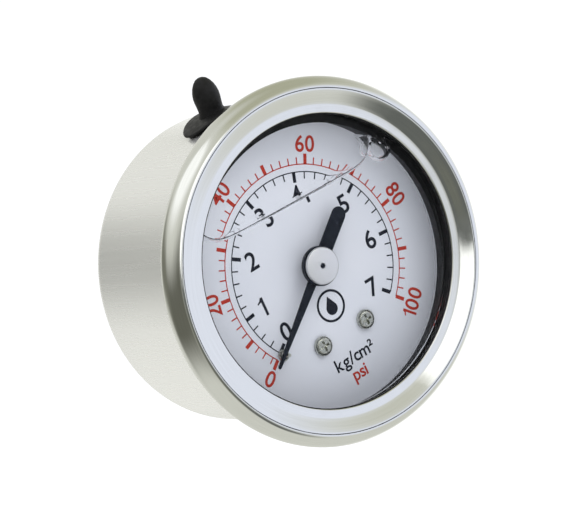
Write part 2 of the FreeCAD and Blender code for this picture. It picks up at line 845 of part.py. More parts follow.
def pillar_places():
    return [
        (dim.pillar_across, dim.pillar_up),
        (-dim.pillar_across, dim.pillar_up),
        (-dim.low_pillar_across, -dim.low_pillar_down),
    ]


def plate_outline(sketch, pinion_hole):
    corner = 1.5
    side, top, bottom = dim.plate_half_width, dim.plate_top, -dim.plate_bottom
    trace(sketch, [
        (corner - side, top), (-side, top - corner, corner),
        (-side, -dim.plate_waist_down), (-dim.plate_foot, bottom),
        (dim.plate_foot, bottom), (side, -dim.plate_waist_down),
        (side, top - corner), (side - corner, top, corner),
    ])
    trace_circle(sketch, 0, 0, pinion_hole)
    trace_circle(sketch, 0, -dim.sector_drop, dim.pivot_radius + dim.running_gap)
    for place in pillar_places():
        trace_circle(sketch, *place, dim.screw_shank_radius)


def make_movement_plates():
    back_hole = dim.pivot_radius + dim.running_gap
    front_hole = dim.arbor_radius + dim.running_gap
    for name, back, hole in (
        ("movement_back_plate", block_front, back_hole),
        ("movement_front_plate", front_plate_back, front_hole),
    ):
        node(plate(name, lambda sketch: plate_outline(sketch, hole), back, dim.plate_thickness))


def make_pillars():
    pillars = [
        turned(f"pillar_{i}", [
            (dim.screw_shank_radius, back_plate_front),
            (dim.pillar_radius, back_plate_front),
            (dim.pillar_radius, front_plate_back),
            (dim.screw_shank_radius, front_plate_back),
        ], *place)
        for i, place in enumerate(pillar_places())
    ]
    node(group("movement_pillars", pillars))


def make_movement_screws():
    screws = []
    for i, place in enumerate(pillar_places()):
        head = front_plate_front + 0.7
        screw = turned(f"movement_screw_{i}", [
            (0, block_front - dim.tap_depth + 0.1),
            (dim.screw_shank_radius, block_front - dim.tap_depth + 0.1),
            (dim.screw_shank_radius, front_plate_front),
            (dim.pillar_radius, front_plate_front),
            (dim.pillar_radius, head - 0.3),
            (dim.pillar_radius - 0.3, head, 0.4),
            (0, head),
        ], *place)
        cross_recess(screw, f"movement_screw_{i}", head, 0.4)
        screws.append(screw)
    node(group("movement_screws", screws))


def gear_blank(name, teeth, back, thickness, degrees):
    """A full involute gear wheel about the stem axis, one tooth at the angle given."""
    builder = fcgear.FCWireBuilder()
    shift = dim.tooth_shift.value
    involute.CreateExternalGear(
        builder, dim.gear_module.value, int(teeth.value), 20, True, 1.0, 1.25, 0.375, shift
    )
    wire = Part.Wire([piece.toShape() for piece in builder.wire])
    feature = doc.addObject("Part::Feature", name)
    feature.Shape = Part.Face(wire).extrude(FreeCAD.Vector(0, 0, thickness.value))
    lay_down = FreeCAD.Rotation(FreeCAD.Vector(1, 0, 0), 90)
    spin = FreeCAD.Rotation(FreeCAD.Vector(0, 0, 1), degrees)
    feature.Placement = FreeCAD.Placement(FreeCAD.Vector(0, -back.value, 0), lay_down * spin)
    return feature


def make_pinion():
    """Arbor, pinion teeth and the nose that carries the pointer."""
    gear_back = sector_back - 0.4
    gear_length = dim.sector_thickness + 0.8
    arbor = turned("pinion_arbor", [
        (0, block_front + 0.05),
        (dim.pivot_radius, block_front + 0.05),
        (dim.pivot_radius, back_plate_front + 0.1),
        (dim.arbor_radius, back_plate_front + 0.1),
        (dim.arbor_radius, blade_back),
        (dim.pivot_radius, blade_back),
        (dim.pivot_radius, hub_front - 0.1),
        (0, hub_front - 0.1),
    ])
    # A gap of the pinion looks straight down at the sector.
    half_tooth = 180 / dim.pinion_teeth.value
    teeth = gear_blank("pinion_gear", dim.pinion_teeth, gear_back, gear_length, -90 + half_tooth)
    node(fuse("pinion_shaft", [arbor, teeth]))


def make_sector():
    """The sector plate: teeth, arms, hub and the tail that the link pulls."""
    down = -dim.sector_drop
    rim = dim.gear_module * dim.wheel_teeth / 2
    wheel = gear_blank("sector_gear_wheel", dim.wheel_teeth, sector_back, dim.sector_thickness, 90)
    wheel.Placement.Base.z = down.value

    def place(reach, degrees):
        across, up = on_dial(as_size(reach), as_size(degrees))
        return across, up + down

    def wedge(name, inner, outer, left, right):
        return plate(
            name,
            lambda sketch: trace(sketch, [
                place(inner, left), place(inner, right), place(outer, right), place(outer, left),
            ]),
            sector_back,
            dim.sector_thickness,
        )

    before = dim.sector_before
    after = -dim.sector_after
    kept = wedge("sector_kept", 0.4, rim + 1.5, before, after)
    toothed = common("sector_toothed", [wheel, kept])
    opening = wedge("sector_opening", 2.6, rim - 1.8, before - 10, after + 10)
    tail_end = place(dim.tail_length, -(dim.tail_angle + 90))
    tail = plate(
        "sector_tail",
        lambda sketch: trace_slot(sketch, (0, down), tail_end, 1.5, 0.8),
        sector_back,
        dim.sector_thickness,
    )
    joined = fuse("sector_joined", [toothed, tail])
    arbor_hole = rod("sector_arbor_hole", dim.arbor_radius, sector_back - 1, 3, 0, down)
    node(cut("sector_gear", joined, fuse("sector_cuts", [opening, arbor_hole])))
    node(turned("sector_arbor", [
        (0, block_front + 0.05),
        (dim.pivot_radius, block_front + 0.05),
        (dim.pivot_radius, back_plate_front + 0.1),
        (dim.arbor_radius, back_plate_front + 0.1),
        (dim.arbor_radius, front_plate_back - 0.1),
        (dim.pivot_radius, front_plate_back - 0.1),
        (dim.pivot_radius, front_plate_front),
        (0, front_plate_front),
    ], 0, down))
    node(link_pin("sector_pin", tail_end))
    return tail_end


def link_pin(name, place):
    """A headed pin that stands on a lever and holds the link."""
    return turned(name, [
        (0, sector_front),
        (dim.pin_radius, sector_front),
        (dim.pin_radius, pin_shoulder),
        (dim.pin_head_radius, pin_shoulder),
        (dim.pin_head_radius, pin_shoulder + 0.25),
        (0, pin_shoulder + 0.25),
    ], *place)


def make_link(sector_end):
    tip_end = (dim.tip_pin_across, -dim.tip_pin_down)

    def outline(sketch):
        trace_slot(sketch, sector_end, tip_end, dim.link_half_width, dim.link_half_width)
        trace_circle(sketch, *sector_end, dim.pin_radius + dim.running_gap)
        trace_circle(sketch, *tip_end, dim.pin_radius + dim.open_pivot_gap)

    node(plate("link_bar", outline, link_back, dim.link_thickness))


def make_bourdon_tube():
    thick, wide = dim.tube_half_thickness, dim.tube_half_width
    bore, bore_wide = thick - dim.tube_wall, wide - dim.tube_wall

    def section(sketch):
        for half, reach in ((thick, wide), (bore, bore_wide)):
            straight = reach - half
            trace_slot(
                sketch,
                (dim.tube_radius, tube_middle - straight),
                (dim.tube_radius, tube_middle + straight),
                half,
                half,
            )

    node(swept("bourdon_tube", section, dim.tube_sweep, dim.tube_start))


def make_tube_tip():
    """The closed end of the tube, with a lug that reaches forward to the link."""
    cap = dim.tube_half_thickness + 0.3
    front = tube_middle + dim.tube_half_width + 0.2
    back = tube_middle - dim.tube_half_width - 0.2
    outside = dim.tube_radius
    lug = dim.tube_radius - 2.3
    start = dim.tube_start + dim.tube_sweep - 360
    node(swept(
        "tube_tip",
        lambda sketch: trace(sketch, [
            (outside - cap, back),
            (outside + cap, back),
            (outside + cap, front),
            (outside, front),
            (outside, sector_front),
            (lug, sector_front),
            (lug, sector_back),
            (outside - cap, sector_back),
        ]),
        dim.tip_sweep,
        start,
    ))
    node(link_pin("tip_pin", (dim.tip_pin_across, -dim.tip_pin_down)))


# ---------------------------------------------------------------- hairspring


def spring_centre_line(start_radius, growth, half_turns):
    """Centre and radius of each half turn: the centres swap sides, so the radius grows evenly."""
    for i in range(half_turns):
        centre = FreeCAD.Vector(-growth / 2 if i % 2 else 0, 0, 0)
        yield centre, start_radius + growth / 2 * i


def make_hairspring():
    """A flat spiral strip from the collet on the pinion to a stud on the back plate."""
    back = back_plate_front + 0.5
    start = dim.collet_radius.value + dim.spring_strip.value / 2
    growth = dim.spring_pitch.value
    half_turns = int(dim.spring_turns.value) * 2
    up = FreeCAD.Vector(0, 0, 1)
    edges = []
    ends = []
    for side in (-1, 1):
        offset = side * dim.spring_strip.value / 2
        arcs = []
        for i, (centre, radius) in enumerate(spring_centre_line(start, growth, half_turns)):
            circle = Part.Circle(centre, up, radius + offset)
            begin = 0 if i % 2 else math.pi
            arcs.append(Part.ArcOfCircle(circle, begin, begin + math.pi).toShape())
        edges += arcs
        ends.append((arcs[0].Vertexes[0].Point, arcs[-1].Vertexes[-1].Point))
    edges += [Part.LineSegment(ends[0][i], ends[1][i]).toShape() for i in (0, 1)]
    strip = Part.Face(Part.Wire(Part.sortEdges(edges)[0])).extrude(up * dim.spring_width.value)
    spring = doc.addObject("Part::Feature", "hairspring")
    spring.Shape = strip
    lay_down = FreeCAD.Rotation(FreeCAD.Vector(1, 0, 0), 90)
    spring.Placement = FreeCAD.Placement(FreeCAD.Vector(0, -back.value, 0), lay_down)
    node(spring)
    node(turned("hairspring_collet", [
        (dim.arbor_radius, back - 0.1),
        (dim.collet_radius, back - 0.1),
        (dim.collet_radius, back + dim.spring_width + 0.1),
        (dim.arbor_radius, back + dim.spring_width + 0.1),
    ]))
    outer_end = dim.collet_radius + dim.spring_pitch * dim.spring_turns + dim.spring_strip
    stud = 0.4
    node(turned("hairspring_stud", [
        (0, back_plate_front),
        (stud, back_plate_front),
        (stud, back + dim.spring_width + 0.1),
        (0, back + dim.spring_width + 0.1),
    ], -(outer_end + stud), 0))


# ---------------------------------------------------------------- build, check and export

make_case()
make_bezel()
make_window()
make_window_gasket()
make_spacer_ring()
make_filler_plug()
make_socket()
make_restrictor()
make_socket_seal()
make_back_screws()
make_dial()
make_dial_posts()
make_dial_screws()
make_zero_stop()
make_pointer()
make_hub_cap()
make_movement_plates()
make_pillars()
make_movement_screws()
make_pinion()
make_link(make_sector())
make_bourdon_tube()
make_tube_tip()
make_hairspring()

doc.recompute()

for thing in doc.Objects:
    if {"Invalid", "Error"} & set(thing.State):
        raise RuntimeError(f"{thing.Label} did not rebuild: {thing.State}")
for part in nodes:
    if part.Shape.isNull() or not part.Shape.isValid() or not part.Shape.Solids:
        raise RuntimeError(f"{part.Label} has no valid solid")

os.makedirs("parts", exist_ok=True)
for part in nodes:
    part.Shape.exportStep(os.path.join("parts", f"{part.Label}.step"))
    print(f"{part.Label:24s} {len(part.Shape.Solids)} solid(s) {part.Shape.Volume:10.3f} mm3")
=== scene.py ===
import json
import math

import bmesh
import bpy
from mathutils import Matrix, Vector


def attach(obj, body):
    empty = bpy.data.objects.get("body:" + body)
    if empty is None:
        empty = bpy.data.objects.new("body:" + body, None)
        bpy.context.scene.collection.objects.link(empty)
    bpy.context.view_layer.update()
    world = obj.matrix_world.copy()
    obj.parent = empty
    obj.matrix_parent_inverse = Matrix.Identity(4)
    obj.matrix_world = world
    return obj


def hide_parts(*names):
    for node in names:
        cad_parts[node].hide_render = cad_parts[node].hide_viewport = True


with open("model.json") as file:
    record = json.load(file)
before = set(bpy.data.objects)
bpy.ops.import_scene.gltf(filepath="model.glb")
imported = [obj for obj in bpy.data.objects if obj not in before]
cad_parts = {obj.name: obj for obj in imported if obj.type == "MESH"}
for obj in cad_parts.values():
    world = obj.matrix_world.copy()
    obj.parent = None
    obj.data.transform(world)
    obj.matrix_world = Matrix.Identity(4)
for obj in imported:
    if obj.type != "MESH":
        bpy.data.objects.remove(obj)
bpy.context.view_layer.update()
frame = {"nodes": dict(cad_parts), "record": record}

# All lengths below are in millimetres. A point is (across, forward, up): across is +X, up is +Z,
# and forward is the distance from the stem's gauge plane towards the reader, along -Y.
MM = 0.001
TURN = 2 * math.pi

CASE_BACK = 15.9
MOUTH = 37.45
WINDOW_INSIDE = 37.3
WINDOW_OUTSIDE = 39.05
DIAL_FACE = 33.15
DIAL_BACK = 32.65
HUB_BACK = 35.9
HUB_FRONT = 36.4
HUB_BORE = 0.3
BLADE_BACK = 34.8
PLUG_FORWARD = 28.3
CASE_RADIUS = 19.2
CASE_RISE = 0.6
GASKET_BORE = 17.6
SPACER_BORE = 17.0
SPACER_FOOT = 17.5

ZERO_ANGLE = -127.5
SCALE_START = -135.0
SCALE_SWEEP = 270.0
PSI_FULL = 100
KG_FULL = 7
PSI_PER_KG = 14.2233
RED_ARC = 12.25
BLACK_ARC = 11.35


# ---------------------------------------------------------------- meshes


def point(across, forward, up):
    return Vector((across * MM, -forward * MM, up * MM))


def about_stem(x, y, height):
    """Local x, y and height of a piece turned about the stem axis."""
    return point(x, height, y)


def about_case(x, y, height):
    """The same for a piece turned about the axis of the case, which lies a little higher."""
    return point(x, height, y + CASE_RISE)


def arc(centre, radius, start, end, steps):
    """Points on an arc, angles in degrees."""
    points = []
    for i in range(steps + 1):
        angle = math.radians(start + (end - start) * i / steps)
        points.append((centre[0] + radius * math.cos(angle), centre[1] + radius * math.sin(angle)))
    return points


def slope(start, end, steps):
    """Points on a straight part of a profile, both ends included."""
    points = []
    for i in range(steps + 1):
        share = i / steps
        points.append((start[0] + (end[0] - start[0]) * share, start[1] + (end[1] - start[1]) * share))
    return points


def finish_mesh(name, mesh_data, material, body, replaces=(), sharp=32):
    """Turn a bmesh into a piece that rides on a body."""
    bmesh.ops.remove_doubles(mesh_data, verts=mesh_data.verts, dist=1e-8)
    bmesh.ops.recalc_face_normals(mesh_data, faces=mesh_data.faces)
    mesh = bpy.data.meshes.new(name)
    mesh_data.to_mesh(mesh)
    mesh_data.free()
    for polygon in mesh.polygons:
        polygon.use_smooth = True
    mesh.set_sharp_from_angle(angle=math.radians(sharp))
    mesh.materials.append(material)
    piece = bpy.data.objects.new(name, mesh)
    bpy.context.scene.collection.objects.link(piece)
    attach(piece, body)
    if replaces:
        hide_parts(*replaces)
    return piece


def add_ring_faces(mesh_data, rings, closed):
    """Join neighbouring rings of vertices; a ring of one vertex is a point on the axis."""
    count = len(rings)
    for i in range(count if closed else count - 1):
        first, second = rings[i], rings[(i + 1) % count]
        steps = max(len(first), len(second))
        if steps == 1:
            continue
        for j in range(steps):
            k = (j + 1) % steps
            corners = []
            for ring, index in ((first, j), (first, k), (second, k), (second, j)):
                vertex = ring[index % len(ring)]
                if vertex not in corners:
                    corners.append(vertex)
            mesh_data.faces.new(corners)


def revolve(mesh_data, profile, steps=256, to_world=about_stem):
    """Turn a closed profile of (radius, height). A radius may be a function of the angle."""
    rings = []
    for radius, height in profile:
        on_axis = not callable(radius) and radius == 0
        ring = []
        for i in range(1 if on_axis else steps):
            angle = TURN * i / steps
            reach = radius(angle) if callable(radius) else radius
            place = to_world(reach * math.cos(angle), reach * math.sin(angle), height)
            ring.append(mesh_data.verts.new(place))
        rings.append(ring)
    open_profile = len(rings[0]) == 1 and len(rings[-1]) == 1
    add_ring_faces(mesh_data, rings, not open_profile)


def turned(name, profile, material, body="housing", replaces=(), steps=256, axis=about_stem):
    mesh_data = bmesh.new()
    revolve(mesh_data, profile, steps, axis)
    return finish_mesh(name, mesh_data, material, body, replaces)


def extrude(mesh_data, outline, back, front):
    """A flat piece with an outline in (across, up)."""
    loops = []
    for forward in (back, front):
        loops.append([mesh_data.verts.new(point(x, forward, z)) for x, z in outline])
    for i in range(len(outline)):
        j = (i + 1) % len(outline)
        mesh_data.faces.new((loops[0][i], loops[0][j], loops[1][j], loops[1][i]))
    mesh_data.faces.new(loops[0])
    mesh_data.faces.new(loops[1])


def on_dial(reach, clock):
    """(across, up) of a place on the dial; clock is in degrees clockwise from 12 o'clock."""
    angle = math.radians(clock)
    return reach * math.sin(angle), reach * math.cos(angle)


# ---------------------------------------------------------------- materials


class Look:
    """A node material built around one Principled shader."""

    def __init__(self, name, colour, roughness, metallic=0.0, **sockets):
        self.material = bpy.data.materials.new(name)
        self.material.use_nodes = True
        self.tree = self.material.node_tree
        self.surface = self.tree.nodes["Principled BSDF"]
        self.set("Base Color", (*colour, 1.0))
        self.set("Roughness", roughness)
        self.set("Metallic", metallic)
        for socket, value in sockets.items():
            self.set(socket.replace("_", " "), value)

    def set(self, socket, value):
        self.surface.inputs[socket].default_value = value

    def add(self, kind, **settings):
        node = self.tree.nodes.new(kind)
        for key, value in settings.items():
            setattr(node, key, value)
        return node

    def link(self, source, target):
        self.tree.links.new(source, target)

    def math(self, operation, first, second=None):
        node = self.add("ShaderNodeMath", operation=operation)
        for socket, value in zip(node.inputs, (first, second)):
            if isinstance(value, (int, float)):
                socket.default_value = value
            elif value is not None:
                self.link(value, socket)
        return node.outputs[0]

    def place(self):
        return self.add("ShaderNodeTexCoord").outputs["Object"]

    def noise(self, scale, detail=3.0, stretch=(1, 1, 1), place=None):
        """Noise with its scale in cycles per millimetre."""
        mapping = self.add("ShaderNodeMapping")
        mapping.inputs["Scale"].default_value = [s / MM for s in stretch]
        self.link(place or self.place(), mapping.inputs["Vector"])
        texture = self.add("ShaderNodeTexNoise")
        texture.inputs["Scale"].default_value = scale
        texture.inputs["Detail"].default_value = detail
        self.link(mapping.outputs["Vector"], texture.inputs["Vector"])
        return texture.outputs["Fac"]

    def polar(self, around):
        """(angle times around, radius, forward) about the stem axis, for marks that run round."""
        split = self.add("ShaderNodeSeparateXYZ")
        self.link(self.place(), split.inputs[0])
        across, forward, up = split.outputs
        angle = self.math("ARCTAN2", across, up)
        square = self.math("ADD", self.math("MULTIPLY", across, across), self.math("MULTIPLY", up, up))
        join = self.add("ShaderNodeCombineXYZ")
        self.link(self.math("MULTIPLY", angle, around * MM), join.inputs[0])
        self.link(self.math("SQRT", square), join.inputs[1])
        self.link(forward, join.inputs[2])
        return join.outputs[0]

    def ramp(self, factor, stops):
        node = self.add("ShaderNodeValToRGB")
        elements = node.color_ramp.elements
        while len(elements) < len(stops):
            elements.new(0.5)
        for element, (position, colour) in zip(elements, stops):
            element.position = position
            element.color = (*colour, 1.0)
        self.link(factor, node.inputs[0])
        return node.outputs[0]

    def vary_colour(self, factor, low, high):
        stops = [(0.2, low), (0.8, high)]
        self.link(self.ramp(factor, stops), self.surface.inputs["Base Color"])

    def vary_roughness(self, factor, low, high):
        node = self.add("ShaderNodeMapRange")
        node.inputs["From Min"].default_value = 0.3
        node.inputs["From Max"].default_value = 0.7
        node.inputs["To Min"].default_value = low
        node.inputs["To Max"].default_value = high
        self.link(factor, node.inputs["Value"])
        self.link(node.outputs[0], self.surface.inputs["Roughness"])

    def bump(self, factor, height):
        """Relief of the given height in millimetres."""
        node = self.add("ShaderNodeBump")
        node.inputs["Distance"].default_value = height * MM
        node.inputs["Strength"].default_value = 1.0
        self.link(factor, node.inputs["Height"])
        self.link(node.outputs[0], self.surface.inputs["Normal"])


# Paint and ink under the liquid mirror far less than they do in air.
IMMERSED = 0.06


def bezel_look():
    look = Look("bezel_steel", (0.70, 0.71, 0.68), 0.10, 1.0)
    spun = look.noise(1.0, 4, (1, 14, 14), look.polar(around=0.3))
    look.vary_colour(spun, (0.66, 0.67, 0.64), (0.74, 0.75, 0.72))
    look.vary_roughness(look.noise(0.5, 4), 0.07, 0.15)
    look.bump(spun, 0.0012)
    return look.material


def case_look():
    look = Look("case_steel", (0.91, 0.91, 0.88), 0.27, 0.65)
    drawn = look.noise(1.0, 2, (2.5, 1, 0.05), look.polar(around=19))
    look.vary_colour(drawn, (0.90, 0.90, 0.87), (0.925, 0.925, 0.895))
    look.vary_roughness(drawn, 0.24, 0.29)
    return look.material


def rubber_look(name, shade):
    look = Look(name, (shade, shade, shade * 1.1), 0.5, Specular_IOR_Level=0.25)
    look.vary_colour(look.noise(2.0, 4), (shade * 0.7,) * 3, (shade * 1.6, shade * 1.6, shade * 1.7))
    look.vary_roughness(look.noise(1.5, 3), 0.42, 0.62)
    look.bump(look.noise(6.0, 4), 0.02)
    return look.material


def dial_look():
    look = Look("dial_enamel", (0.77, 0.80, 0.87), 0.45, Specular_IOR_Level=IMMERSED)
    look.vary_colour(look.noise(0.12, 3), (0.745, 0.775, 0.845), (0.79, 0.815, 0.88))
    look.bump(look.noise(5.0, 2), 0.002)
    return look.material


def ink_look(name, low, high):
    look = Look(name, low, 0.55, Specular_IOR_Level=IMMERSED)
    look.vary_colour(look.noise(4.0, 4), low, high)
    look.bump(look.noise(9.0, 2), 0.002)
    return look.material


def pointer_look():
    look = Look("pointer_black", (0.012, 0.015, 0.022), 0.4, Specular_IOR_Level=IMMERSED)
    look.vary_colour(look.noise(1.5, 4), (0.009, 0.011, 0.017), (0.02, 0.024, 0.034))
    look.bump(look.noise(7.0, 3), 0.003)
    return look.material


def hub_look():
    look = Look("bright_aluminium", (0.93, 0.93, 0.93), 0.3, 1.0)
    rays = look.noise(1.0, 4, (9, 0.25, 1), look.polar(around=6))
    look.vary_colour(rays, (0.84, 0.84, 0.84), (0.98, 0.98, 0.98))
    look.vary_roughness(rays, 0.28, 0.46)
    look.bump(rays, 0.004)
    return look.material


def metal_look(name, low, high, roughness):
    look = Look(name, low, roughness, 1.0)
    look.vary_colour(look.noise(1.2, 5), low, high)
    look.vary_roughness(look.noise(2.5, 4), roughness * 0.8, roughness * 1.3)
    look.bump(look.noise(8.0, 3), 0.003)
    return look.material


def clear_look(name, index, tint):
    """Clear matter that bends what is seen through it and lets soft light pass unbent."""
    look = Look(name, tint, 0.0, 0.0, Transmission_Weight=1.0, IOR=index)
    clear = look.add("ShaderNodeBsdfTransparent")
    path = look.add("ShaderNodeLightPath")
    passes = look.math("MAXIMUM", path.outputs["Is Shadow Ray"], path.outputs["Is Diffuse Ray"])
    mix = look.add("ShaderNodeMixShader")
    look.link(passes, mix.inputs[0])
    look.link(look.surface.outputs[0], mix.inputs[1])
    look.link(clear.outputs[0], mix.inputs[2])
    look.link(mix.outputs[0], look.tree.nodes["Material Output"].inputs["Surface"])
    look.vary_colour(look.noise(0.1, 2), tint, tuple(min(1.0, c * 1.01) for c in tint))
    return look.material


def floor_look():
    look = Look("floor_paper", (0.93, 0.93, 0.93), 0.9, Specular_IOR_Level=0.0)
    look.set("Emission Color", (1.0, 1.0, 1.0, 1.0))
    look.set("Emission Strength", 0.35)
    look.vary_colour(look.noise(0.01, 3), (0.92, 0.92, 0.92), (0.94, 0.94, 0.94))
    return look.material


bezel_steel = bezel_look()
case_steel = case_look()
black_rubber = rubber_look("black_rubber", 0.009)
black_plastic = rubber_look("black_plastic", 0.007)
dial_enamel = dial_look()
black_ink = ink_look("black_ink", (0.010, 0.012, 0.02), (0.03, 0.033, 0.045))
red_ink = ink_look("red_ink", (0.46, 0.035, 0.022), (0.56, 0.07, 0.05))
pointer_black = pointer_look()
bright_aluminium = hub_look()
screw_steel = metal_look("screw_steel", (0.40, 0.41, 0.36), (0.60, 0.61, 0.55), 0.28)
arbor_steel = metal_look("arbor_steel", (0.52, 0.52, 0.54), (0.62, 0.62, 0.64), 0.22)
brass = metal_look("brass", (0.62, 0.46, 0.20), (0.76, 0.60, 0.32), 0.26)
bronze = metal_look("bronze", (0.58, 0.38, 0.20), (0.70, 0.50, 0.30), 0.3)
window_clear = clear_look("window_clear", 1.5, (0.99, 1.0, 1.0))
liquid_clear = clear_look("liquid_clear", 1.43, (0.985, 0.99, 1.0))
air_clear = clear_look("bubble_clear", 1 / 1.43, (1.0, 1.0, 1.0))

SLOT_LOOKS = {
    "case_steel": case_steel,
    "bezel_steel": bezel_steel,
    "clear": window_clear,
    "black_rubber": black_rubber,
    "black_plastic": black_plastic,
    "dial_enamel": dial_enamel,
    "pointer_black": pointer_black,
    "bright_aluminium": bright_aluminium,
    "screw_steel": screw_steel,
    "arbor_steel": arbor_steel,
    "brass": brass,
    "bronze": bronze,
}

for subpart in frame["record"]["subparts"]:
    cad_piece = frame["nodes"][subpart["node"]]
    cad_piece.data.materials.clear()
    cad_piece.data.materials.append(SLOT_LOOKS[subpart["material_slot"]])

# ---------------------------------------------------------------- case, bezel, window and gasket


def build_case():
    corner = 1.9
    sheet = 0.5
    bend = CASE_RADIUS - corner
    edge = 0.12
    flange = 20.6
    neck = 0.4
    hole = 7.2

    def back_hole(angle):
        """Radius of the stem's hole, which lies CASE_RISE below the axis of the case."""
        drop = CASE_RISE * math.sin(angle)
        return math.sqrt(hole**2 - CASE_RISE**2 + drop**2) - drop

    profile = [(back_hole, CASE_BACK)]
    profile += arc((bend, CASE_BACK + corner), corner, -90, 0, 14)
    profile += arc((CASE_RADIUS + neck, MOUTH - sheet - neck), neck, 180, 90, 6)
    profile += arc((flange - edge, MOUTH - edge), edge, 0, 90, 3)
    profile += [(CASE_RADIUS - sheet, MOUTH)]
    profile += arc((bend, CASE_BACK + corner), corner - sheet, 0, -90, 14)
    profile += [(back_hole, CASE_BACK + sheet)]
    turned(
        "case_shell", profile, case_steel,
        replaces=["case"], steps=320, axis=about_case,
    )


def build_bezel():
    crest = 19.9
    middle = 38.35
    bead = 2.1
    inner = 1.6
    skirt = 19.3
    lip = 17.5
    lip_root = 18.1
    lip_round = 0.15
    cone_lean = 20.0
    cone_top, cone_foot = (20.1, 40.24), (18.58, 39.69)
    lip_top, lip_edge = (18.50, 39.67), (17.64, 39.56)
    profile = [(skirt, middle - bead + 0.02)]
    profile += arc((crest, middle), bead, -90, 60, 34)
    # The bead tightens to a crest of a smaller radius, which starts level with it at 60 degrees,
    # then a plain cone runs down to the flat lip.
    tight = 1.0
    aside, above = (bead - tight) * math.cos(TURN / 6), (bead - tight) * math.sin(TURN / 6)
    profile += arc((crest + aside, middle + above), tight, 61, 90 + cone_lean, 16)
    profile += slope(cone_top, cone_foot, 4)
    profile += slope(lip_top, lip_edge, 3)
    profile += arc((lip + lip_round, lip_edge[1] - lip_round), lip_round, 90, 180, 8)
    profile += [(lip, WINDOW_OUTSIDE + 0.01), (lip_root, WINDOW_OUTSIDE + 0.01)]
    profile += arc((crest, middle), inner, 75, -90, 24)
    profile += [(skirt, middle - inner)]
    turned(
        "bezel_rolled", profile, bezel_steel,
        replaces=["bezel_ring"], steps=384, axis=about_case,
    )


def build_window():
    rim = 18.2
    edge = 0.15
    profile = [(0, WINDOW_INSIDE), (rim - edge, WINDOW_INSIDE), (rim, WINDOW_INSIDE + edge)]
    profile += [(rim, WINDOW_OUTSIDE - edge), (rim - edge, WINDOW_OUTSIDE), (0, WINDOW_OUTSIDE)]
    turned("window_pane", profile, window_clear, replaces=["window"], axis=about_case)


def build_rings():
    rim = 18.24
    outer = 18.6
    flange = 20.3
    bead = 0.2
    back = WINDOW_INSIDE - 0.4
    seat = MOUTH + 0.05
    profile = [(GASKET_BORE, back), (outer, back), (outer, seat)]
    profile += arc((flange, seat + bead), bead, -90, 90, 6)
    profile += [(outer, seat + 2 * bead), (outer, WINDOW_OUTSIDE), (rim, WINDOW_OUTSIDE)]
    profile += [(rim, WINDOW_INSIDE - 0.02), (GASKET_BORE, WINDOW_INSIDE - 0.02)]
    turned(
        "gasket_moulded", profile, black_rubber,
        replaces=["window_gasket"], axis=about_case,
    )
    # Its front lip shows as a black line between the bezel and the window.
    bore = 17.38
    edge = 0.04
    foot, front = WINDOW_OUTSIDE + 0.01, 39.44
    lip = [(bore, foot), (bore, front - edge), (bore + edge, front)]
    lip += [(GASKET_BORE, front), (GASKET_BORE, foot)]
    turned("gasket_lip", lip, black_rubber, axis=about_case)
    outer = 18.05
    corner = 0.1
    foot, front = DIAL_FACE + 0.02, WINDOW_INSIDE - 0.42
    profile = arc((SPACER_FOOT + corner, foot + corner), corner, 270, 180, 4)
    profile += arc((SPACER_BORE + corner, front - corner), corner, 180, 90, 4)
    profile += [(outer, front), (outer, foot)]
    turned("spacer_moulded", profile, black_plastic, replaces=["spacer_ring"])


# ---------------------------------------------------------------- filler plug


def build_plug():
    """A floppy rubber disc on the curved case, with a leaning egg-shaped nipple."""
    lean = math.radians(10)
    top = CASE_RADIUS + 1.1
    foot = top + CASE_RISE
    droop_rate = 0.065
    wide, narrow = 1.1, 0.9

    def base_place(x, y, height):
        """The disc is a little oval, and its leaves droop over the sides of the case."""
        droop = droop_rate * x * x if height > CASE_RADIUS else 0
        return point(wide * x, PLUG_FORWARD + narrow * y, height - droop + CASE_RISE)

    def nipple_place(x, y, height):
        forward = y * math.cos(lean) + height * math.sin(lean)
        return point(x, PLUG_FORWARD + forward, foot + height * math.cos(lean) - y * math.sin(lean))

    mesh_data = bmesh.new()
    shank, barb, leaf = 1.95, 2.6, 0.15
    profile = [(0, 17.2), (shank, 17.2), (barb, 17.6), (barb, 18.2), (shank, 18.5)]
    profile += [(shank, CASE_RADIUS + 0.1)]
    # The disc is two thin leaves, one over the other.
    profile += arc((3.45, top - 0.56), leaf, -90, 90, 6)
    profile += [(2.7, top - 0.4), (2.7, top - 0.3)]
    profile += arc((3.85, top - 0.13), leaf, -90, 90, 6)
    profile += [(2.4, top), (1.7, top + 0.05), (0, top + 0.1)]
    revolve(mesh_data, profile, 96, base_place)
    # The nipple has a waist at its foot and is widest halfway up.
    profile = [(0, -0.5), (1.85, -0.5), (1.7, 0.0), (1.52, 0.45), (1.56, 1.1), (1.63, 1.8)]
    profile += [(1.64, 2.3), (1.55, 2.9), (1.35, 3.5), (1.07, 4.0), (0.74, 4.38), (0.38, 4.57)]
    profile += [(0, 4.6)]
    revolve(mesh_data, profile, 64, nipple_place)
    finish_mesh("plug_moulded", mesh_data, black_rubber, "housing", ["filler_plug"], 50)


# ---------------------------------------------------------------- socket


